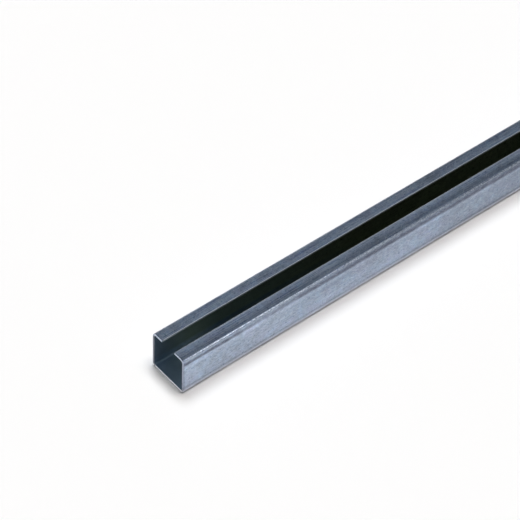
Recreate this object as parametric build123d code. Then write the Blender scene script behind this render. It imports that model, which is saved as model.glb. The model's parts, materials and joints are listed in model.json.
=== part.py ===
from build123d import *
import os

# Lipped steel channel section: one bar of cold-rolled stock, lying on its web with the slot upwards.
# The bar is rolled from a single flat strip into a web, two side walls and two lips, which turn in
# over the top and leave a slot along the whole length.
# Lengths are in millimetres. X runs along the bar, Y across it and Z up, and the origin is on the
# underside of the web, halfway along.

# The section, measured over its outside
section_width = 30.0
section_height = 30.0
slot_width = 12.0

# The strip that it is rolled from, and how tightly the rolls bend it
sheet_thickness = 1.5
inner_bend_radius = 1.5
slit_edge_radius = 0.2

# The bar, sawn square at both ends
bar_length = 1000.0


def outer_face_line():
    """The strip's outer face, seen end on: from one lip's edge, down round the web, to the other's."""
    side = section_width / 2
    slot_side = slot_width / 2
    corners = [
        (-slot_side, section_height),
        (-side, section_height),
        (-side, 0),
        (side, 0),
        (side, section_height),
        (slot_side, section_height),
    ]
    return FilletPolyline(*corners, radius=inner_bend_radius + sheet_thickness)


def strip_section():
    """The strip's thickness laid inside its outer face, so that both faces of a bend share a centre."""
    slot_reach = slot_width / 2 + slit_edge_radius
    with BuildSketch(Plane.YZ.offset(-bar_length / 2)) as section:
        with BuildLine():
            outer_face_line()
            offset(amount=sheet_thickness, side=Side.LEFT)
        make_face()
        slit_corners = section.vertices().filter_by_position(Axis.X, -slot_reach, slot_reach)
        fillet(slit_corners, radius=slit_edge_radius)
    return section.sketch


def channel_section():
    """The section carried along the whole bar as one solid."""
    return extrude(strip_section(), amount=bar_length)


os.makedirs("parts", exist_ok=True)
export_step(channel_section(), "parts/channel_section.step")
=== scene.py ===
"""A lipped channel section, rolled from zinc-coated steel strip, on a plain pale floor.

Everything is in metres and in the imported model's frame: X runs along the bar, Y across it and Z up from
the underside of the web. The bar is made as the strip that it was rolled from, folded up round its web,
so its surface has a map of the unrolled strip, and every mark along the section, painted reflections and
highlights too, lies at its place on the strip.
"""
import json
import math
from functools import cached_property

import bmesh
import bpy
from bpy.props import FloatProperty, FloatVectorProperty, IntProperty, PointerProperty
from mathutils import Matrix, Vector


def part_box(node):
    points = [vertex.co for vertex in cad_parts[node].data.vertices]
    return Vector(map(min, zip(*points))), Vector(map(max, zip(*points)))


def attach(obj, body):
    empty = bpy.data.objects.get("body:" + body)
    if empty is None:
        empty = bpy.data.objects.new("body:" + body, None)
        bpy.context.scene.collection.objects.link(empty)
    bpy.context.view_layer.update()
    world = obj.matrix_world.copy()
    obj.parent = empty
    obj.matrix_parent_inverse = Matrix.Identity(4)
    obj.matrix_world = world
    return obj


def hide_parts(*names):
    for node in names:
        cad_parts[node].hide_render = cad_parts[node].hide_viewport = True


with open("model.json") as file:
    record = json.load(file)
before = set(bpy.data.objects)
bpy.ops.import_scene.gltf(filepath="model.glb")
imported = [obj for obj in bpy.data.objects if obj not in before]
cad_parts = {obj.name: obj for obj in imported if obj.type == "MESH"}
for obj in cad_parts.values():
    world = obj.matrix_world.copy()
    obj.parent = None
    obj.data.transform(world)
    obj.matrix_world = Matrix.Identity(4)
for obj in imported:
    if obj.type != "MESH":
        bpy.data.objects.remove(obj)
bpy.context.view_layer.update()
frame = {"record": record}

bl_info = {
    "name": "Lipped channel section",
    "version": (1, 0, 0),
    "blender": (4, 5, 0),
    "location": "View3D > Sidebar > Channel",
    "description": "Builds a rolled, zinc-coated channel section and a plain studio to see it in",
    "category": "Object",
}

MM = 0.001
SAME_PLACE = 0.01 * MM
CAD_NODE = "channel_section"
BODY = "root"
STRIP_MAP = "unrolled_strip"

# How far a face's normal points along the bar, at most on the strip's skin and at least on a sawn end
SKIN_LEAN, CUT_LEAN = 0.1, 0.9

# A Mix node's colour inputs, by number, because the inputs of its other kinds have the same names
MIX_A, MIX_B = 6, 7

bar_low, bar_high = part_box(CAD_NODE)
mount_places = {mount["name"]: Vector(mount["pos_m"]) for mount in frame["record"]["mounts"]}


def linear(hex_colour):
    """An sRGB colour written as hex, as the linear values that shaders and lamps take."""
    parts = [int(hex_colour[at:at + 2], 16) / 255 for at in (0, 2, 4)]
    return tuple(part / 12.92 if part <= 0.04045 else ((part + 0.055) / 1.055) ** 2.4 for part in parts)


# Sizes and colours that a user may change

class ChannelShape(bpy.types.PropertyGroup):
    """The rolled section's sizes, measured over its outside."""

    length: FloatProperty(
        name="Length", description="Length of the bar, between its sawn ends",
        default=bar_high.x - bar_low.x, min=50 * MM, unit="LENGTH")
    width: FloatProperty(
        name="Width", description="Width over the side walls",
        default=bar_high.y - bar_low.y, min=10 * MM, unit="LENGTH")
    height: FloatProperty(
        name="Height", description="Height from the underside of the web to the top of the lips",
        default=bar_high.z - bar_low.z, min=10 * MM, unit="LENGTH")
    sheet: FloatProperty(
        name="Sheet", description="Thickness of the strip",
        default=mount_places["web_inside"].z, min=0.5 * MM, unit="LENGTH")
    slot: FloatProperty(
        name="Slot", description="Width of the slot between the lips",
        default=12 * MM, min=2 * MM, unit="LENGTH")
    bend: FloatProperty(
        name="Bend", description="Outer radius of the four bends",
        default=3 * MM, min=0.6 * MM, unit="LENGTH")
    bend_steps: IntProperty(
        name="Bend steps", description="Faces round each bend",
        default=16, min=2, max=48)
    slit_edge: FloatProperty(
        name="Slit edge", description="Radius that the slitting knives leave on the strip's edges",
        default=0.2 * MM, min=0.02 * MM, unit="LENGTH")
    sawn_edge: FloatProperty(
        name="Sawn edge", description="Width of the broken edge round the saw cuts",
        default=0.25 * MM, min=0.01 * MM, unit="LENGTH")


class ChannelFinish(bpy.types.PropertyGroup):
    """The colours of the zinc coat and of the bare steel at the cuts, and of the painted shade, sheen and
    highlights.
    """

    zinc: FloatVectorProperty(
        name="Zinc", description="The satin zinc coat",
        default=linear("B4CAE2"), size=3, min=0, max=1, subtype="COLOR")
    zinc_lilac: FloatVectorProperty(
        name="Zinc, lilac", description="Patches where the coat takes a lilac tinge",
        default=linear("B6C0D9"), size=3, min=0, max=1, subtype="COLOR")
    zinc_dull: FloatVectorProperty(
        name="Zinc, dull", description="Patches where the coat has gone dull",
        default=linear("9DA8B8"), size=3, min=0, max=1, subtype="COLOR")
    # Also the colour of the painted dark reflection on the lips beside their bends
    zinc_dark: FloatVectorProperty(
        name="Zinc, stale", description="Long stretches where the coat has darkened",
        default=linear("4C535E"), size=3, min=0, max=1, subtype="COLOR")
    stretch_seed: FloatProperty(
        name="Stretch seed", description="Moves the darkened stretches along the bar",
        default=237.3)
    # Painted dark reflection: the colour of the dull band and thin dark line below each upper bend
    bend_dark_reflection: FloatVectorProperty(
        name="Roll mark", description="The dull bands and thin dark lines beside each bend",
        default=linear("53586A"), size=3, min=0, max=1, subtype="COLOR")
    # Also the colour of the painted highlight along the slit edges
    burnish_and_edge_highlight: FloatVectorProperty(
        name="Burnish", description="Where the rolls rub the bends' crowns, on the edges and in scratches",
        default=linear("D6DDE8"), size=3, min=0, max=1, subtype="COLOR")
    # Painted sheen: the lower bends are painted lighter, over the dark contact shadow that they mirror
    foot_sheen: FloatVectorProperty(
        name="Foot burnish", description="The lower bends, which every roll and table rubs",
        default=linear("F0F2FA"), size=3, min=0, max=1, subtype="COLOR")
    # Painted shade: the inner face is painted darker and greener than the outer coat
    inner_shade: FloatVectorProperty(
        name="Oiled zinc", description="The coat inside the channel",
        default=linear("979F88"), size=3, min=0, max=1, subtype="COLOR")
    inner_shade_dull: FloatVectorProperty(
        name="Oiled zinc, dull", description="Dull patches of the coat inside the channel",
        default=linear("868D7B"), size=3, min=0, max=1, subtype="COLOR")
    # Painted light on the inner walls towards the open ends, and painted shade at the ends themselves
    inner_wall_end_light: FloatVectorProperty(
        name="Inner wall towards the ends", description="The coat inside the walls, where the oil ran off",
        default=linear("ABB8A8"), size=3, min=0, max=1, subtype="COLOR")
    inner_wall_end_shade: FloatVectorProperty(
        name="Inner wall at the ends", description="The coat inside the walls, stained by the saw's coolant",
        default=linear("7D90A3"), size=3, min=0, max=1, subtype="COLOR")
    # Painted light on the inner web near the open ends, with a brighter painted glint 25 to 38 mm from each
    # end
    inner_web_end_light: FloatVectorProperty(
        name="Inner web at the ends", description="The coat on the web and its bends, at the sawn ends",
        default=linear("96ACC0"), size=3, min=0, max=1, subtype="COLOR")
    inner_web_glint: FloatVectorProperty(
        name="Clean web", description="The coat on the web and its bends, where the oil has run off",
        default=linear("C1D0DA"), size=3, min=0, max=1, subtype="COLOR")
    bare_steel: FloatVectorProperty(
        name="Bare steel", description="The walls' sawn ends",
        default=linear("9AA1B2"), size=3, min=0, max=1, subtype="COLOR")
    # Painted highlight: the web's sawn ends are painted bright
    web_cut_highlight: FloatVectorProperty(
        name="Bright cut", description="The web's sawn ends",
        default=linear("F4F5FA"), size=3, min=0, max=1, subtype="COLOR")
    lip_cut: FloatVectorProperty(
        name="Lip cut", description="The lips' sawn ends",
        default=linear("B3BECD"), size=3, min=0, max=1, subtype="COLOR")
    slit_steel: FloatVectorProperty(
        name="Slit edge", description="The slit edges, which the knives leave bright",
        default=linear("E6EEF6"), size=3, min=0, max=1, subtype="COLOR")
    # A darker tone for the left wall's sawn end
    left_wall_cut_dark: FloatVectorProperty(
        name="Saw smear", description="The cut where the saw's blade leaves the bar",
        default=linear("63676F"), size=3, min=0, max=1, subtype="COLOR")


class ChannelStudio(bpy.types.PropertyGroup):
    """The floor, the lamps and the camera."""

    floor: FloatVectorProperty(
        name="Floor", description="Colour of the floor",
        default=linear("FEFEFE"), size=3, min=0, max=1, subtype="COLOR")
    overhead: FloatProperty(
        name="Overhead light", description="Watts that fall from above on each square metre of floor",
        default=3.265, min=0)
    front_window: FloatProperty(
        name="Front window", description="Power of the low lamp in front of the bar, in watts",
        default=0.165, min=0)
    side_window: FloatProperty(
        name="Side window", description="Power of the low lamp beside the near end, in watts",
        default=0.02, min=0)
    lens: FloatProperty(
        name="Lens", description="Focal length, in millimetres on a 36 mm wide picture",
        default=161.14, min=20)
    azimuth: FloatProperty(
        name="Azimuth", description="Turn of the camera round the bar; 0 looks along +Y",
        default=math.radians(-41.734), subtype="ANGLE")
    elevation: FloatProperty(
        name="Elevation", description="Height of the camera above the horizon",
        default=math.radians(46.915), subtype="ANGLE")
    roll: FloatProperty(
        name="Roll", description="Tilt of the camera about its line of sight",
        default=math.radians(2.933), subtype="ANGLE")
    distance: FloatProperty(
        name="Distance", description="Depth of the bar's near end from the camera",
        default=1408.69 * MM, min=0.1, unit="LENGTH")


# Modelling by operators

def start_clean():
    """Deselects everything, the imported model's nodes too."""
    bpy.ops.object.select_all(action="DESELECT")


def select_edges(piece, wanted):
    """In edit mode, selects the edges that pass the test and nothing else."""
    bpy.ops.mesh.select_all(action="DESELECT")
    mesh = bmesh.from_edit_mesh(piece.data)
    for edge in mesh.edges:
        if wanted(edge):
            edge.select_set(True)
    mesh.select_flush_mode()
    bmesh.update_edit_mesh(piece.data)


def along_bar(*section_places):
    """A test for the edges that run the bar's whole length at one of these places of its section."""
    def wanted(edge):
        return any(
            all(abs(end.co.y - y) < SAME_PLACE and abs(end.co.z - z) < SAME_PLACE for end in edge.verts)
            for y, z in section_places)
    return wanted


def round_sawn_face(edge):
    """Whether an edge lies between a sawn end and the strip's skin."""
    lean = sorted(abs(face.normal.x) for face in edge.link_faces)
    return len(lean) == 2 and lean[0] < SKIN_LEAN and lean[1] > CUT_LEAN


def strip_distance(shape, y, z):
    """How far a point of the section lies from the web's middle, going round the strip's outer face."""
    flat = shape.width / 2 - shape.bend
    upper_bend = shape.height - shape.bend
    quarter = shape.bend * math.pi / 2
    wall_start = flat + quarter
    lip_bend_start = wall_start + upper_bend - shape.bend
    beyond_flat = abs(y) - flat
    if beyond_flat > 0 and z < shape.bend:
        distance = flat + shape.bend * math.atan2(beyond_flat, shape.bend - z)
    elif beyond_flat > 0 and z > upper_bend:
        distance = lip_bend_start + shape.bend * math.atan2(z - upper_bend, beyond_flat)
    elif beyond_flat > 0:
        distance = wall_start + z - shape.bend
    elif z < shape.height / 2:
        distance = abs(y)
    else:
        distance = lip_bend_start + quarter - beyond_flat
    return math.copysign(distance, y)


def unroll(piece, shape):
    """Maps the strip as it was before rolling: U along the bar and V across the strip, in metres."""
    strip_map = piece.data.uv_layers.new(name=STRIP_MAP)
    for loop in piece.data.loops:
        place = piece.data.vertices[loop.vertex_index].co
        strip_map.data[loop.index].uv = (place.x, strip_distance(shape, place.y, place.z))


def apply_modifier(piece, kind, **settings):
    """Adds a modifier with these settings and applies it."""
    modifier = piece.modifiers.new(kind.title(), kind)
    for name, value in settings.items():
        setattr(modifier, name, value)
    bpy.ops.object.modifier_apply(modifier=modifier.name)


# Materials

def add(tree, kind, inputs, stops=(), **settings):
    """Adds a node to a tree.

    Each input is a value, another node's output, or a node, which stands for its first output in use.
    The stops are a ramp's, each a place and a grey or a colour.
    """
    node = tree.nodes.new(kind)
    for name, value in settings.items():
        setattr(node, name, value)
    for socket, value in inputs.items():
        if isinstance(value, bpy.types.Node):
            value = next(output for output in value.outputs if output.enabled)
        if isinstance(value, bpy.types.NodeSocket):
            tree.links.new(value, node.inputs[socket])
        else:
            node.inputs[socket].default_value = value
    for at, (place, tone) in enumerate(stops):
        stop = node.color_ramp.elements[at] if at < 2 else node.color_ramp.elements.new(1.0)
        stop.position = place
        stop.color = (*tone, 1) if isinstance(tone, tuple) else (tone, tone, tone, 1)
    return node


def blend(tree, share, under, over, kind="MIX"):
    """Lays one colour over another by a share from 0 to 1; a colour is a node or a value."""
    under, over = [tone if isinstance(tone, bpy.types.Node) else (*tone, 1) for tone in (under, over)]
    return add(tree, "ShaderNodeMix", {
        "Factor": share, MIX_A: under, MIX_B: over}, data_type="RGBA", blend_type=kind)


def new_tree(name):
    """An empty material, and its tree."""
    material = bpy.data.materials.new(name)
    material.use_nodes = True
    material.node_tree.nodes.clear()
    return material, material.node_tree


def cloudy_coat(tree, strip, fresh, tinged, dull, lining):
    """The zinc coat's own colour, pits, dullness and relief, as they lie on the unrolled strip.

    Lining is the strength of the rolling lines, a value or a node. Returns three nodes: the colour, the
    dullness from 0 to 1, and the bump.
    """
    clouds = add(tree, "ShaderNodeTexNoise", {
        "Vector": strip, "Scale": 1 / (5 * MM), "Detail": 4.0, "Roughness": 0.6})
    patches = add(tree, "ShaderNodeTexNoise", {
        "Vector": strip, "Scale": 1 / (40 * MM), "Detail": 2.0, "Roughness": 0.5})
    tinge = add(tree, "ShaderNodeTexNoise", {
        "Vector": strip, "Scale": 1 / (9 * MM), "Detail": 2.0, "W": 3.0}, noise_dimensions="4D")

    # Spangle-like grain: a tenth of a millimetre on the real strip, drawn 2 mm by 1.2 mm so that it shows
    grain_place = add(tree, "ShaderNodeMapping", {
        "Vector": strip, "Scale": (1 / (2 * MM), 1 / (1.2 * MM), 1)})
    grain = add(tree, "ShaderNodeTexNoise", {
        "Vector": grain_place, "Scale": 1.0, "Detail": 2.0, "Roughness": 0.6})

    # Rolling lines: hair-fine on the real strip, drawn 0.45 mm wide and 40 mm long so that they show
    line_place = add(tree, "ShaderNodeMapping", {
        "Vector": strip, "Scale": (1 / (40 * MM), 1 / (0.45 * MM), 1)})
    rolling_lines = add(tree, "ShaderNodeTexNoise", {
        "Vector": line_place, "Scale": 1.0, "Detail": 3.0, "Roughness": 0.6})
    line_tone = add(tree, "ShaderNodeMapRange", {"Value": rolling_lines, "From Min": 0.3, "From Max": 0.7})

    tinge_share = add(tree, "ShaderNodeMapRange", {"Value": tinge, "From Min": 0.34, "From Max": 0.66})
    coat = blend(tree, tinge_share, fresh, tinged)
    cloud_dullness = add(tree, "ShaderNodeMapRange", {
        "Value": clouds, "From Min": 0.35, "From Max": 0.68, "To Max": 0.7})
    patch_dullness = add(tree, "ShaderNodeMapRange", {
        "Value": patches, "From Min": 0.42, "From Max": 0.7, "To Max": 0.45})
    dullness = add(tree, "ShaderNodeMath", {
        0: cloud_dullness, 1: patch_dullness}, operation="ADD", use_clamp=True)
    dulled = blend(tree, dullness, coat, dull)
    grained = blend(tree, 0.5, dulled, grain, "OVERLAY")
    lined = blend(tree, lining, grained, line_tone, "OVERLAY")

    # Pits 0.6 mm wide, few and dark
    pit_noise = add(tree, "ShaderNodeTexNoise", {"Vector": strip, "Scale": 1 / (2 * MM), "Detail": 1.0})
    pits = add(tree, "ShaderNodeMapRange", {
        "Value": pit_noise, "From Min": 0.63, "From Max": 0.71, "To Max": 0.6})
    pitted = blend(tree, pits, lined, dull, "MULTIPLY")

    line_bump = add(tree, "ShaderNodeBump", {
        "Height": rolling_lines, "Strength": 1.0, "Distance": 0.008 * MM})
    grain_bump = add(tree, "ShaderNodeBump", {
        "Height": grain, "Strength": 1.0, "Distance": 0.012 * MM, "Normal": line_bump})
    cloud_bump = add(tree, "ShaderNodeBump", {
        "Height": clouds, "Strength": 1.0, "Distance": 0.03 * MM, "Normal": grain_bump})
    return pitted, dullness, cloud_bump


def handling_scratches(tree, strip):
    """Scratches 0.4 mm wide and 6 mm long at two slants, from 0 to 1."""
    scratch_sets = []
    for slant in (math.radians(38), math.radians(-24)):
        turned = add(tree, "ShaderNodeMapping", {"Vector": strip, "Rotation": (0, 0, slant)})
        stretched = add(tree, "ShaderNodeMapping", {
            "Vector": turned, "Scale": (1 / (6 * MM), 1 / (0.4 * MM), 1)})
        noise = add(tree, "ShaderNodeTexNoise", {"Vector": stretched, "Scale": 1.0, "Detail": 1.0})
        scratch_sets.append(add(tree, "ShaderNodeMapRange", {
            "Value": noise, "From Min": 0.6, "From Max": 0.74}))
    return add(tree, "ShaderNodeMath", {0: scratch_sets[0], 1: scratch_sets[1]}, operation="MAXIMUM")


class StripPlaces:
    """Where a shaded point lies on the strip, for the marks that follow the rolled section.

    Across the strip, a place is its distance from the web's middle, going round the outer face. Along the
    bar, it is its distance from the nearer sawn end.
    """

    def __init__(self, tree, shape):
        self.tree = tree
        self.strip = add(tree, "ShaderNodeUVMap", {}, uv_map=STRIP_MAP)
        self.place = add(tree, "ShaderNodeSeparateXYZ", {"Vector": self.strip})
        self.from_half_way = add(tree, "ShaderNodeMath", {0: self.place.outputs["X"]}, operation="ABSOLUTE")
        self.from_middle = add(tree, "ShaderNodeMath", {0: self.place.outputs["Y"]}, operation="ABSOLUTE")
        self.half_length = shape.length / 2
        self.half_width = strip_distance(shape, shape.slot / 2, shape.height)
        self.wall_low = strip_distance(shape, shape.width / 2, shape.bend)
        self.wall_high = strip_distance(shape, shape.width / 2, shape.height - shape.bend)
        self.crown = self.wall_high + shape.bend * math.pi / 4
        self.lip_start = self.wall_high + shape.bend * math.pi / 2

    @cached_property
    def share_of_length(self):
        """The share of the way from the bar's half way point to its sawn end."""
        return add(self.tree, "ShaderNodeMath", {
            0: self.from_half_way, 1: self.half_length}, operation="DIVIDE")

    @cached_property
    def share_of_width(self):
        """The share of the way from the web's middle round to the slit edge."""
        return add(self.tree, "ShaderNodeMath", {
            0: self.from_middle, 1: self.half_width}, operation="DIVIDE")

    @cached_property
    def right_side(self):
        """1 on the right side, seen along +X, and 0 on the left side."""
        return add(self.tree, "ShaderNodeMath", {0: self.place.outputs["Y"], 1: 0.0}, operation="LESS_THAN")

    def across(self, *stops):
        """A ramp across the strip, outwards from the web's middle; each stop is a place and a tone."""
        return add(self.tree, "ShaderNodeValToRGB", {"Fac": self.share_of_width}, stops=[
            (place / self.half_width, tone) for place, tone in stops])

    def towards_ends(self, *stops):
        """A ramp along the bar, from its half way point outwards; each stop is a place and a tone."""
        return add(self.tree, "ShaderNodeValToRGB", {"Fac": self.share_of_length}, stops=[
            (1 - place / self.half_length, tone) for place, tone in stops])

    def near_ends(self, start, full, strength=1.0):
        """A share that grows from 0 at one place along the bar to its strength at another."""
        return add(self.tree, "ShaderNodeMapRange", {
            "Value": self.from_half_way, "From Min": self.half_length - start,
            "From Max": self.half_length - full, "To Max": strength})


def bend_reflection_and_saw_dulling(at):
    """A painted dark reflection below the upper bends, and the saw's dulling at the ends, from 0 to 1."""
    # Painted dark reflection: a dull band and a thin dark line on each wall below its upper bend
    bend_reflection = at.across(
        (at.wall_high - 3.6 * MM, 0.0), (at.wall_high - 2.8 * MM, 0.3), (at.wall_high - 2.0 * MM, 0.8),
        (at.wall_high - 1.0 * MM, 1.0), (at.wall_high - 0.1 * MM, 0.95), (at.wall_high + 0.9 * MM, 0.55),
        (at.crown, 0.0))

    # They are narrowest at the sawn ends, and faint for a while, 40 to 100 mm from each
    narrowed_bend_reflection = add(at.tree, "ShaderNodeMapRange", {
        "Value": bend_reflection, "From Min": at.near_ends(150 * MM, 0, 0.5)})
    faintness = at.towards_ends(
        (115 * MM, 1.0), (98 * MM, 0.93), (80 * MM, 0.62), (64 * MM, 0.5), (48 * MM, 0.7), (32 * MM, 1.0))
    faded_bend_reflection = add(at.tree, "ShaderNodeMath", {0: narrowed_bend_reflection, 1: faintness}, operation="MULTIPLY")

    # The saw dulls the last 1.2 mm of the bar
    end_mark = at.near_ends(1.2 * MM, 0.3 * MM, 0.5)
    return add(at.tree, "ShaderNodeMath", {0: faded_bend_reflection, 1: end_mark}, operation="MAXIMUM")


def wear_and_edge_highlight(at, scratches):
    """Where the coat is rubbed bright, and where a highlight is painted, from 0 to 1: the upper bends' crowns
    and scratches are rubbed, and the slit edges get a painted highlight.
    """
    # The crowns are burnished in flecks 1.5 mm long
    burnished = at.across(
        (at.crown - 1.2 * MM, 0.0), (at.crown - 0.3 * MM, 1.0), (at.crown + 0.3 * MM, 1.0),
        (at.crown + 0.9 * MM, 0.0))
    fleck_place = add(at.tree, "ShaderNodeMapping", {
        "Vector": at.strip, "Scale": (1 / (1.5 * MM), 1 / (0.7 * MM), 1)})
    fleck_noise = add(at.tree, "ShaderNodeTexNoise", {
        "Vector": fleck_place, "Scale": 1.0, "Detail": 3.0, "Roughness": 0.7})
    flecks = add(at.tree, "ShaderNodeMapRange", {
        "Value": fleck_noise, "From Min": 0.43, "From Max": 0.56, "To Max": 0.8})
    crown_wear = add(at.tree, "ShaderNodeMath", {0: burnished, 1: flecks}, operation="MULTIPLY")

    # A painted highlight along the slit edges: up to 1.6 mm from the edge on the right lip, and up to 0.5 mm
    # on the left one
    edge_highlight_start = add(at.tree, "ShaderNodeMapRange", {
        "Value": at.right_side, "To Min": 1 - 0.5 * MM / at.half_width,
        "To Max": 1 - 1.6 * MM / at.half_width})
    painted_edge_highlight = add(at.tree, "ShaderNodeMapRange", {
        "Value": at.share_of_width, "From Min": edge_highlight_start, "From Max": 1 - 0.2 * MM / at.half_width,
        "To Max": 0.6})

    rubbed = add(at.tree, "ShaderNodeMath", {0: scratches, 1: 0.35}, operation="MULTIPLY")
    rolled_wear = add(at.tree, "ShaderNodeMath", {0: rubbed, 1: crown_wear}, operation="MAXIMUM")
    return add(at.tree, "ShaderNodeMath", {0: rolled_wear, 1: painted_edge_highlight}, operation="MAXIMUM")


def coat_darkening(at, seed):
    """How much darker the coat is made, from 0 to 1; on the lips, beside their bends, this is painted dark
    reflection.
    """
    # It is duller in long stretches, 150 mm and more
    stretch_noise = add(at.tree, "ShaderNodeTexNoise", {
        "Vector": at.strip, "Scale": 1 / (200 * MM), "Detail": 0.0, "W": seed}, noise_dimensions="4D")
    stretch_reach = add(at.tree, "ShaderNodeMapRange", {
        "Value": at.share_of_width, "From Min": at.crown / at.half_width,
        "From Max": at.lip_start / at.half_width, "To Min": 0.4, "To Max": 0.28})
    stretches = add(at.tree, "ShaderNodeMapRange", {
        "Value": stretch_noise, "From Min": 0.419, "From Max": 0.57, "To Max": stretch_reach})

    # Darker in bands across the strip: a band just above the lower bends; up the walls more and more, to
    # 6.5 mm below the upper bends; and over the upper bends' crowns and the lips, darkest at the crowns and
    # fading towards the slit edges. On the lips this is painted dark reflection.
    darker_bands = at.across(
        (at.wall_low + 0.2 * MM, 0.1), (at.wall_low + 1.9 * MM, 0.28), (at.wall_low + 3.4 * MM, 0.0),
        (at.wall_high - 6.5 * MM, 0.25), (at.wall_high - 4.1 * MM, 0.07), (at.crown - 1.5 * MM, 0.2),
        (at.crown, 0.36), (at.lip_start + 0.5 * MM, 0.29), (at.half_width - 1.5 * MM, 0.18))
    strip_darkening = add(at.tree, "ShaderNodeMath", {0: stretches, 1: darker_bands}, operation="ADD")

    # The upper half of the walls is dull between 75 and 205 mm from each sawn end
    dull_stretch = at.towards_ends(
        (205 * MM, 0.0), (165 * MM, 0.15), (135 * MM, 0.26), (110 * MM, 0.26), (93 * MM, 0.2), (75 * MM, 0.0))
    dull_height = at.across(
        (at.wall_low + 3 * MM, 0.2), (at.wall_low + 9 * MM, 0.65), (at.wall_low + 16 * MM, 1.0),
        (at.wall_high, 1.0), (at.crown, 0.25))
    all_darkening = add(at.tree, "ShaderNodeMath", {
        0: dull_stretch, 1: dull_height, 2: strip_darkening}, operation="MULTIPLY_ADD")

    # The right lip also gets a painted dark reflection in a band beside its bend
    painted_lip_reflection = at.across(
        (at.lip_start - 1.0 * MM, 0.0), (at.lip_start + 0.2 * MM, 0.24), (at.lip_start + 1.6 * MM, 0.14),
        (at.lip_start + 3.0 * MM, 0.0))
    return add(at.tree, "ShaderNodeMath", {
        0: at.right_side, 1: painted_lip_reflection, 2: all_darkening}, operation="MULTIPLY_ADD")


def zinc_coated_steel(shape, finish):
    """Cold-rolled steel strip with a thin satin coat of zinc: the outer face.

    The eye gets a blue-grey metal that mirrors the floor softly, with cloudy patches a few millimetres
    wide, fine lines along the bar, short scratches across it, and a burnished, broken line along each upper
    bend's crown. Below each upper bend a dull band and a thin dark line are painted dark reflection, the
    lower bends carry a painted sheen, and the slit edges a painted highlight.
    """
    material, tree = new_tree("zinc_coated_cold_rolled_steel")
    at = StripPlaces(tree, shape)

    # The rolls slide over the lips, so these are lined the most
    lining = add(tree, "ShaderNodeMapRange", {
        "Value": at.share_of_width, "From Min": at.wall_high / at.half_width,
        "From Max": at.crown / at.half_width, "To Min": 0.2, "To Max": 0.62})
    coat, dullness, relief = cloudy_coat(
        tree, at.strip, finish.zinc, finish.zinc_lilac, finish.zinc_dull, lining)
    scratches = handling_scratches(tree, at.strip)
    worn_and_highlit = wear_and_edge_highlight(at, scratches)

    # The painted dark reflection below the upper bends follows the coat's own dullness, and the lower bends
    # get an even painted sheen
    bend_reflection_cover = add(tree, "ShaderNodeMapRange", {"Value": dullness, "To Min": 0.78, "To Max": 1.1})
    bend_reflection_and_saw_share = add(tree, "ShaderNodeMath", {
        0: bend_reflection_and_saw_dulling(at), 1: bend_reflection_cover}, operation="MULTIPLY", use_clamp=True)
    # Painted sheen on the lower bends, over the dark contact shadow that they mirror
    painted_foot_sheen = at.across(
        (at.wall_low - 3.5 * MM, 0.0), (at.wall_low - 2.0 * MM, 0.8), (at.wall_low - 0.4 * MM, 0.75),
        (at.wall_low + 0.4 * MM, 0.35), (at.wall_low + 1.2 * MM, 0.0))

    # Colour: the coat, its darker stretches and bands, the painted dark reflection below the upper bends, the
    # painted sheen on the lower bends, and the rubbed places and painted edge highlights
    stretched_coat = blend(tree, coat_darkening(at, finish.stretch_seed), coat, finish.zinc_dark)
    with_bend_reflection = blend(tree, bend_reflection_and_saw_share, stretched_coat, finish.bend_dark_reflection)
    footed = blend(tree, painted_foot_sheen, with_bend_reflection, finish.foot_sheen)
    colour = blend(tree, worn_and_highlit, footed, finish.burnish_and_edge_highlight)

    # Roughness: dull patches, the painted bands below the upper bends and the lower bends' painted sheen
    # scatter more, burnished places and the painted edge highlights less
    rougher = add(tree, "ShaderNodeMapRange", {"Value": dullness, "To Min": 0.27, "To Max": 0.38})
    bend_band_rough = add(tree, "ShaderNodeMath", {
        0: bend_reflection_and_saw_share, 1: 0.15, 2: rougher}, operation="MULTIPLY_ADD")
    wear_and_highlight_rough = add(tree, "ShaderNodeMath", {
        0: worn_and_highlit, 1: -0.06, 2: bend_band_rough}, operation="MULTIPLY_ADD")
    roughness = add(tree, "ShaderNodeMath", {
        0: painted_foot_sheen, 1: 0.3, 2: wear_and_highlight_rough}, operation="MULTIPLY_ADD")
    scratch_bump = add(tree, "ShaderNodeBump", {
        "Height": scratches, "Strength": 1.0, "Distance": 0.006 * MM, "Normal": relief}, invert=True)
    metal = add(tree, "ShaderNodeBsdfPrincipled", {
        "Base Color": colour, "Metallic": 1.0, "Roughness": roughness, "Normal": scratch_bump})
    add(tree, "ShaderNodeOutputMaterial", {"Surface": metal})
    return material


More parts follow.
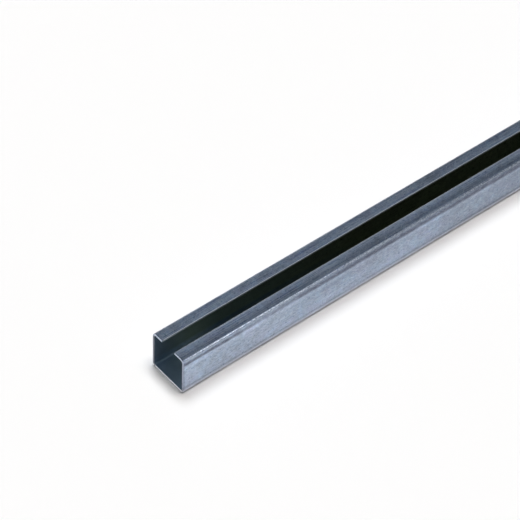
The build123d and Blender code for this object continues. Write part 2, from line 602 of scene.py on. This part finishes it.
def shaded_inner_zinc(shape, finish):
    """The same strip's inner face, painted darker and greener than outside as painted shade for the channel's
    inside.

    The eye gets a metal that is cloudy and lined in the same way, painted lighter and bluer towards the
    sawn ends as painted light from the open ends.
    """
    material, tree = new_tree("inner_zinc_with_painted_shade")
    at = StripPlaces(tree, shape)
    coat, dullness, relief = cloudy_coat(
        tree, at.strip, finish.inner_shade, finish.inner_shade_dull, finish.inner_shade_dull, 0.2)

    # The walls, from 6 to 9 mm round from the web's edge, have a tone of their own
    web_edge = strip_distance(shape, shape.width / 2 - shape.bend, 0)
    wall_share = add(tree, "ShaderNodeMapRange", {
        "Value": at.from_middle, "From Min": web_edge + 6 * MM, "From Max": web_edge + 9 * MM})
    # On the inner walls, painted light, turning to painted shade from 28 mm to 4 mm from each end
    wall_tone = blend(tree, at.near_ends(28 * MM, 4 * MM), finish.inner_wall_end_light, finish.inner_wall_end_shade)
    inner_web_end_light, inner_web_glint = tuple(finish.inner_web_end_light), tuple(finish.inner_web_glint)
    # On the web and its bends, painted light near the ends, with a brighter painted glint 38 to 25 mm from
    # each end
    web_tone = at.towards_ends(
        (50 * MM, inner_web_end_light), (38 * MM, inner_web_glint), (25 * MM, inner_web_glint), (8 * MM, inner_web_end_light))
    lit_ends = blend(tree, wall_share, web_tone, wall_tone)
    # The painted light grows from 170 mm to 30 mm from each sawn end, where it covers nine tenths of the
    # shaded coat
    colour = blend(tree, at.near_ends(170 * MM, 30 * MM, 0.9), coat, lit_ends)

    roughness = add(tree, "ShaderNodeMapRange", {"Value": dullness, "To Min": 0.45, "To Max": 0.6})
    metal = add(tree, "ShaderNodeBsdfPrincipled", {
        "Base Color": colour, "Metallic": 1.0, "Roughness": roughness, "Normal": relief})
    add(tree, "ShaderNodeOutputMaterial", {"Surface": metal})
    return material


def bare_cut_steel(shape, finish):
    """Bare steel at the sawn ends and along the slit edges.

    The eye gets a greyer, rougher metal than the coat, with the saw's fine lines across it, a painted
    highlight on the web's cuts, brighter cuts through the lips, a darker cut on the left wall, and pale slit
    edges.
    """
    material, tree = new_tree("bare_sawn_steel")
    place = add(tree, "ShaderNodeTexCoord", {}).outputs["Object"]
    places = add(tree, "ShaderNodeSeparateXYZ", {"Vector": place})
    rise = add(tree, "ShaderNodeMath", {0: places.outputs["Z"], 1: shape.height}, operation="DIVIDE")
    sheet_share = shape.sheet / shape.height
    bare, web, lip = tuple(finish.bare_steel), tuple(finish.web_cut_highlight), tuple(finish.lip_cut)
    # The web's cuts are painted bright, a painted highlight; the lips' cuts are lighter than the walls'
    cut_tone = add(tree, "ShaderNodeValToRGB", {"Fac": rise}, stops=[
        (sheet_share, web), (2 * sheet_share, bare), (1 - 2 * sheet_share, bare), (1 - sheet_share, lip)])

    # Saw lines: finer on the real cut, drawn 0.5 mm apart so that they show. A wave of scale 1 repeats
    # every pi / 10 units.
    saw_spacing = 0.5 * MM
    slanted = add(tree, "ShaderNodeMapping", {"Vector": place, "Rotation": (math.radians(12), 0, 0)})
    saw_lines = add(tree, "ShaderNodeTexWave", {
        "Vector": slanted, "Scale": math.pi / 10 / saw_spacing, "Distortion": 2.0, "Detail": 2.0,
        "Detail Scale": 2.0}, bands_direction="Z")
    grime = add(tree, "ShaderNodeTexNoise", {"Vector": place, "Scale": 1 / (1.5 * MM), "Detail": 3.0})
    tone = blend(tree, 0.3, cut_tone, saw_lines, "OVERLAY")
    grimy = blend(tree, 0.4, tone, grime, "OVERLAY")

    # The left wall's sawn end is darker, less and less towards the lip
    inner_side = shape.width / 2 - 2 * shape.sheet
    left_wall_side = add(tree, "ShaderNodeMapRange", {
        "Value": places.outputs["Y"], "From Min": inner_side, "From Max": inner_side + shape.sheet})
    under_lip = add(tree, "ShaderNodeMapRange", {
        "Value": places.outputs["Z"], "From Min": shape.height - shape.bend,
        "From Max": shape.height - shape.sheet, "To Min": 0.8, "To Max": 0.0})
    left_cut_darkening = add(tree, "ShaderNodeMath", {0: left_wall_side, 1: under_lip}, operation="MULTIPLY")
    sawn = blend(tree, left_cut_darkening, grimy, finish.left_wall_cut_dark)

    # The slit edges run the whole length between the sawn ends
    half_length = shape.length / 2
    from_half_way = add(tree, "ShaderNodeMath", {0: places.outputs["X"]}, operation="ABSOLUTE")
    slit = add(tree, "ShaderNodeMapRange", {
        "Value": from_half_way, "From Min": half_length - 1.0 * MM, "From Max": half_length - 0.5 * MM,
        "To Min": 0.9, "To Max": 0.0})
    colour = blend(tree, slit, sawn, finish.slit_steel)
    roughness = add(tree, "ShaderNodeMapRange", {"Value": grime, "To Min": 0.35, "To Max": 0.55})
    bump = add(tree, "ShaderNodeBump", {"Height": saw_lines, "Strength": 1.0, "Distance": 0.01 * MM})

    # A powdery oxide covers part of the slit edges, so they scatter light as a matt surface does
    metallic = add(tree, "ShaderNodeMapRange", {"Value": slit, "To Min": 1.0, "To Max": 0.4})
    metal = add(tree, "ShaderNodeBsdfPrincipled", {
        "Base Color": colour, "Metallic": metallic, "Roughness": roughness, "Normal": bump})
    add(tree, "ShaderNodeOutputMaterial", {"Surface": metal})
    return material


def pale_floor(studio):
    """A plain matt floor, which gives a white ground with the bar's soft shadow on it."""
    material, tree = new_tree("matt_pale_floor")
    surface = add(tree, "ShaderNodeBsdfDiffuse", {"Color": (*studio.floor, 1)})
    add(tree, "ShaderNodeOutputMaterial", {"Surface": surface})
    return material


# The pieces

class CHANNEL_OT_roll_bar(bpy.types.Operator):
    """Fold the strip up into the lipped channel, thicken it, ease its edges and give it its finish"""

    bl_idname = "channel.roll_bar"
    bl_label = "Roll the bar"

    def execute(self, context):
        shape, finish = context.scene.channel_shape, context.scene.channel_finish
        side, top, slot_side = shape.width / 2, shape.height, shape.slot / 2
        if side - shape.bend <= slot_side or shape.bend <= shape.sheet:
            raise ValueError("The lips need a flat, and the bends a radius over the sheet's thickness")

        # The strip's outer face: the web, the two walls up from it, and the two lips turned in
        start_clean()
        bpy.ops.mesh.primitive_plane_add(size=1, calc_uvs=False, location=(0, 0, 0))
        bar = context.object
        bar.name = bar.data.name = "channel_bar"
        bpy.ops.object.mode_set(mode="EDIT")
        bpy.ops.mesh.select_mode(type="EDGE")
        bpy.ops.transform.resize(value=(shape.length, shape.width, 1))
        select_edges(bar, along_bar((-side, 0), (side, 0)))
        bpy.ops.mesh.extrude_region_move(TRANSFORM_OT_translate={"value": (0, 0, top)})
        for sign in (-1, 1):
            select_edges(bar, along_bar((sign * side, top)))
            bpy.ops.mesh.extrude_region_move(
                TRANSFORM_OT_translate={"value": (0, sign * (slot_side - side), 0)})

        # The four bends
        select_edges(bar, along_bar((-side, 0), (side, 0), (-side, top), (side, top)))
        bpy.ops.mesh.bevel(offset=shape.bend, segments=shape.bend_steps, profile=0.5, affect="EDGES")
        bpy.ops.mesh.select_all(action="SELECT")
        bpy.ops.mesh.remove_doubles(threshold=SAME_PLACE / 10)
        bpy.ops.mesh.normals_make_consistent(inside=False)
        bpy.ops.object.mode_set(mode="OBJECT")
        web = min(bar.data.polygons, key=lambda face: face.center.z)
        if web.normal.z > 0:
            bar.data.flip_normals()

        # The strip's thickness, laid inside its outer face, with bare steel wherever it was cut
        bar.data.materials.append(zinc_coated_steel(shape, finish))
        bar.data.materials.append(bare_cut_steel(shape, finish))
        bar.data.materials.append(shaded_inner_zinc(shape, finish))
        apply_modifier(bar, "SOLIDIFY", thickness=shape.sheet, offset=-1, use_even_offset=True,
                       use_rim=True, material_offset_rim=1, material_offset=2)
        bpy.ops.object.mode_set(mode="EDIT")
        select_edges(bar, along_bar(
            *[(sign * slot_side, z) for sign in (-1, 1) for z in (top - shape.sheet, top)]))
        bpy.ops.mesh.bevel(offset=shape.slit_edge, segments=4, profile=0.5, affect="EDGES", material=1)
        select_edges(bar, round_sawn_face)
        bpy.ops.mesh.bevel(offset=shape.sawn_edge, segments=2, profile=0.5, affect="EDGES", material=1)
        bpy.ops.object.mode_set(mode="OBJECT")

        unroll(bar, shape)
        bpy.ops.object.shade_smooth_by_angle(angle=math.radians(50))
        apply_modifier(bar, "WEIGHTED_NORMAL", mode="FACE_AREA", keep_sharp=True)
        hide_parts(CAD_NODE)
        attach(bar, BODY)
        return {"FINISHED"}


def towards(azimuth, elevation):
    """A unit vector; azimuth 0 points along -Y, the way that a camera at azimuth 0 stands."""
    flat = math.cos(elevation)
    return Vector((math.sin(azimuth) * flat, -math.cos(azimuth) * flat, math.sin(elevation)))


def add_lamp(context, kind, name, direction, place=(0, 0, 0)):
    """Adds a lamp that stands in this direction from what it lights."""
    start_clean()
    bpy.ops.object.light_add(
        type=kind, location=place, rotation=direction.to_track_quat("Z", "Y").to_euler())
    lamp = context.object
    lamp.name = name
    return lamp


class CHANNEL_OT_set_studio(bpy.types.Operator):
    """Lay the floor, light it, and set the camera"""

    bl_idname = "channel.set_studio"
    bl_label = "Set the studio"

    # The floor reaches past every view's horizon, and lies just under the bar
    FLOOR_SIDE = 60
    FLOOR_GAP = 0.01 * MM

    # The overhead lamps: a lean across the bar in degrees, a share of the light and a tint. The first is
    # the strongest and warmest, because it gives the shadow beside the bar most of its light, and the bar's
    # reflection would turn that shadow blue.
    OVERHEADS = ((-6.2, 0.42, "FFF9F4"), (9, 0.29, "F5F9FD"), (15.3, 0.29, "F5F9FD"))
    OVERHEAD_LEAN_ALONG = 7.5
    OVERHEAD_WIDTH = math.radians(22)

    # The middle of the bar's near end, as it lies in the 520 pixel square picture
    PICTURE_SIDE = 520
    END_IN_PICTURE = (167.945, 363.109)

    # The camera's sensor in millimetres, and how far it sees in metres
    SENSOR = 36.0
    FARTHEST_SIGHT = 200

    def execute(self, context):
        studio = context.scene.channel_studio
        self.lay_floor(context, studio)
        self.set_overheads(context, studio)
        self.lay_slot_card(context)
        self.set_windows(context, studio)
        self.set_room(context)
        self.set_camera(context, studio)
        return {"FINISHED"}

    def lay_floor(self, context, studio):
        """A plain matt floor."""
        start_clean()
        bpy.ops.mesh.primitive_plane_add(size=self.FLOOR_SIDE, location=(0, 0, bar_low.z - self.FLOOR_GAP))
        floor = context.object
        floor.name = "floor"
        floor.data.materials.append(pale_floor(studio))

    def set_overheads(self, context, studio):
        """Three broad lamps in a row overhead, which the metal doesn't mirror."""
        for lean, share, tint in self.OVERHEADS:
            overhead = Vector((
                math.tan(math.radians(self.OVERHEAD_LEAN_ALONG)), math.tan(math.radians(lean)), 1))
            lamp = add_lamp(context, "SUN", "overhead_softbox", overhead)
            lamp.data.energy = studio.overhead * share
            lamp.data.color = linear(tint)
            lamp.data.angle = self.OVERHEAD_WIDTH
            lamp.visible_glossy = False

    def lay_slot_card(self, context):
        """A card that keeps these lamps out of the channel, so the floor by the open end stays shaded."""
        shape = context.scene.channel_shape
        start_clean()
        bpy.ops.mesh.primitive_plane_add(size=1, location=(0, 0, bar_high.z - shape.sheet / 2))
        card = context.object
        card.name = "slot_card"
        bpy.ops.object.mode_set(mode="EDIT")
        bpy.ops.transform.resize(value=(bar_high.x - bar_low.x, shape.slot, 1))
        bpy.ops.object.mode_set(mode="OBJECT")
        card.visible_camera = card.visible_glossy = card.visible_diffuse = False

    def set_windows(self, context, studio):
        """Two low windows that only the metal sees, so they put no second shadow on the floor.

        The side window stands close to the near end and lower than the lips, so it lights the sawn faces
        and leaves the lips as they are.
        """
        near_end = Vector((bar_low.x, 0, bar_high.z))
        for name, direction, distance, size, power in (
                ("front_window", (0.46, -0.72, 0.51), 0.6, (0.16, 0.12), studio.front_window),
                ("side_window", (-0.82, 0.55, 0.15), 0.1, (0.045, 0.03), studio.side_window)):
            window = Vector(direction).normalized()
            lamp = add_lamp(context, "AREA", name, window, near_end + window * distance)
            lamp.data.shape = "RECTANGLE"
            lamp.data.size, lamp.data.size_y = size
            lamp.data.energy = power
            lamp.visible_camera = lamp.visible_diffuse = False

    def set_room(self, context):
        """A dim room that the metal mirrors."""
        world = bpy.data.worlds.new("room")
        world.use_nodes = True
        tree = world.node_tree
        tree.nodes.clear()
        direction = add(tree, "ShaderNodeTexCoord", {}).outputs["Generated"]
        height = add(tree, "ShaderNodeSeparateXYZ", {"Vector": direction}).outputs["Z"]
        room = add(tree, "ShaderNodeValToRGB", {"Fac": height}, stops=[
            (0.0, linear("CBCBCB")), (0.3, linear("A9ABAE")), (0.6, linear("A4A9AF")),
            (0.75, linear("AAAFB6")), (0.92, linear("808489"))])

        # The matt floor sees a dimmer and warmer room, so that the lamps' shadow keeps its reach and tone
        matt_ray = add(tree, "ShaderNodeLightPath", {}).outputs["Is Diffuse Ray"]
        seen_room = blend(tree, matt_ray, room, linear("36332F"))
        background = add(tree, "ShaderNodeBackground", {"Color": seen_room})
        add(tree, "ShaderNodeOutputWorld", {"Surface": background})
        context.scene.world = world

    def set_camera(self, context, studio):
        """The camera's axes from its angles, and its place from where it sees the bar's near end."""
        back = towards(studio.azimuth, studio.elevation)
        level = Vector((math.cos(studio.azimuth), math.sin(studio.azimuth), 0))
        upright = back.cross(level)
        right = level * math.cos(studio.roll) + upright * math.sin(studio.roll)
        up = upright * math.cos(studio.roll) - level * math.sin(studio.roll)
        near_end = Vector((bar_low.x, 0, (bar_low.z + bar_high.z) / 2))
        pixel = self.SENSOR / self.PICTURE_SIDE / studio.lens * studio.distance
        from_centre = [(at - self.PICTURE_SIDE / 2) * pixel for at in self.END_IN_PICTURE]
        place = near_end + back * studio.distance - right * from_centre[0] + up * from_centre[1]
        start_clean()
        bpy.ops.object.camera_add(location=place, rotation=Matrix((right, up, back)).transposed().to_euler())
        camera = context.object
        camera.name = "camera"
        camera.data.sensor_width = self.SENSOR
        camera.data.lens = studio.lens
        camera.data.clip_end = self.FARTHEST_SIGHT
        context.scene.camera = camera
        context.scene.view_settings.view_transform = "Standard"


class CHANNEL_PT_sidebar(bpy.types.Panel):
    """The sizes, the colours and the two steps"""

    bl_idname = "CHANNEL_PT_sidebar"
    bl_label = "Channel section"
    bl_space_type = "VIEW_3D"
    bl_region_type = "UI"
    bl_category = "Channel"

    def draw(self, context):
        scene = context.scene
        for group in (scene.channel_shape, scene.channel_finish, scene.channel_studio):
            column = self.layout.column(align=True)
            for name in type(group).__annotations__:
                column.prop(group, name)
        for step in STEPS:
            self.layout.operator(step.bl_idname)


STEPS = (CHANNEL_OT_roll_bar, CHANNEL_OT_set_studio)
GROUPS = {"channel_shape": ChannelShape, "channel_finish": ChannelFinish, "channel_studio": ChannelStudio}
CLASSES = (*GROUPS.values(), *STEPS, CHANNEL_PT_sidebar)


def register():
    """Registers the classes, and hangs the property groups on the scene."""
    for each in CLASSES:
        bpy.utils.register_class(each)
    for name, group in GROUPS.items():
        setattr(bpy.types.Scene, name, PointerProperty(type=group))


def unregister():
    """Takes all of it away again."""
    for name in GROUPS:
        delattr(bpy.types.Scene, name)
    for each in reversed(CLASSES):
        bpy.utils.unregister_class(each)


def main():
    """Registers the classes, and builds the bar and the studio."""
    register()
    bpy.ops.channel.roll_bar()
    bpy.ops.channel.set_studio()


if __name__ == "__main__":
    main()
